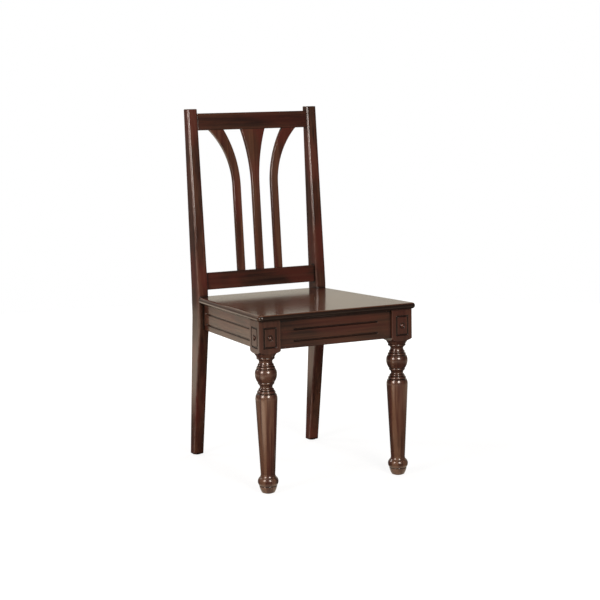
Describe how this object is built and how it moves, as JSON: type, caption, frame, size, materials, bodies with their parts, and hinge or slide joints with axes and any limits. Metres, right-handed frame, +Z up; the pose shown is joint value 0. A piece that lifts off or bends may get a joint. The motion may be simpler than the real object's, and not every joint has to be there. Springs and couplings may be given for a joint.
{
  "type": "dining chair",
  "caption": "Wooden dining chair with turned front legs, raked rear posts, a flat solid seat and an open back of flared splats between rails.",
  "frame": {"origin": "On the floor, under the middle of the chair's outline.", "axes": "+Z up; -Y toward the front of the seat and +Y toward the back; +X to the right of a person looking at the chair's front."},
  "size_m": [0.4532, 0.5454, 0.968],
  "materials": {
    "lacquered_wood": "dark red-brown stain under gloss lacquer",
    "seat_wood": "dark red-brown stain under high gloss lacquer",
    "plain_wood": "unfinished, planed",
    "steel": "zinc plated",
    "glide_plastic": "matt, dark brown"
  },
  "bodies": {
    "root": {"front_leg_left": "lacquered_wood", "front_leg_right": "lacquered_wood", "front_button_left": "lacquered_wood", "front_button_right": "lacquered_wood", "side_button_left": "lacquered_wood", "side_button_right": "lacquered_wood", "rear_post_left": "lacquered_wood", "rear_post_right": "lacquered_wood", "crest_rail": "lacquered_wood", "lower_back_rail": "lacquered_wood", "centre_splat": "lacquered_wood", "side_splat_left": "lacquered_wood", "side_splat_right": "lacquered_wood", "front_apron": "lacquered_wood", "side_apron_left": "lacquered_wood", "side_apron_right": "lacquered_wood", "rear_apron": "lacquered_wood", "seat_panel": "seat_wood", "corner_block_front_left": "plain_wood", "corner_block_front_right": "plain_wood", "corner_block_rear_left": "plain_wood", "corner_block_rear_right": "plain_wood", "corner_block_screws": "steel", "seat_screws": "steel", "front_glide_left": "glide_plastic", "front_glide_right": "glide_plastic", "rear_glide_left": "glide_plastic", "rear_glide_right": "glide_plastic", "glide_nails": "steel"}
  },
  "joints": []
}
